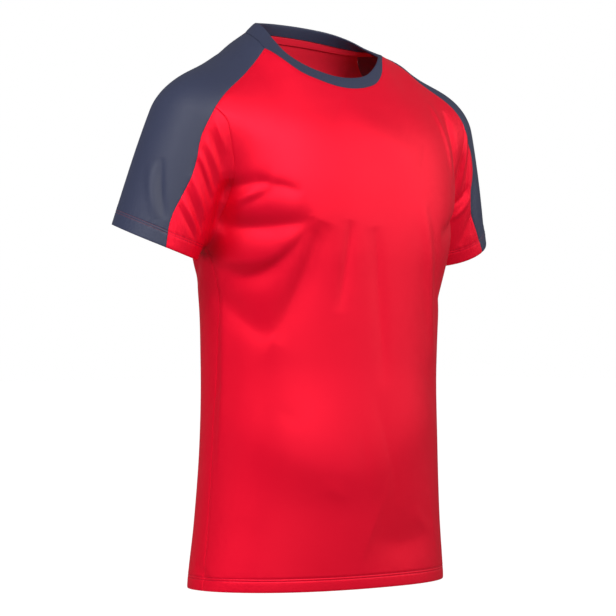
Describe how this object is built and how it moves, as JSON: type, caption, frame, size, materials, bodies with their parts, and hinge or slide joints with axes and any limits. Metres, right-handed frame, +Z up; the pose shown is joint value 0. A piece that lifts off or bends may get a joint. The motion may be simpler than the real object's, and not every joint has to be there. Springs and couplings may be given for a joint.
{
  "type": "football jersey",
  "caption": "Short-sleeved raglan football jersey, worn form with nobody in it, crew neck band, contrasting shoulders and hollow sleeves.",
  "frame": {"origin": "midway between the two high points of the shoulders at the neck, level with them", "axes": "+Z up, -Y to the wearer's front, +X to the wearer's left"},
  "size_m": [0.5959, 0.2331, 0.7077],
  "materials": {
    "body_knit": "smooth glossy polyester knit, bright red",
    "shoulder_knit": "smooth polyester knit, dark navy grey",
    "neck_rib": "folded knit band, dark navy grey",
    "neck_tape": "narrow knit tape, bright red"
  },
  "bodies": {
    "root": {"front_panel": "body_knit", "back_panel": "body_knit", "right_sleeve_top": "shoulder_knit", "left_sleeve_top": "shoulder_knit", "right_sleeve_under": "body_knit", "left_sleeve_under": "body_knit", "collar": "neck_rib", "neck_tape": "neck_tape"}
  },
  "joints": []
}
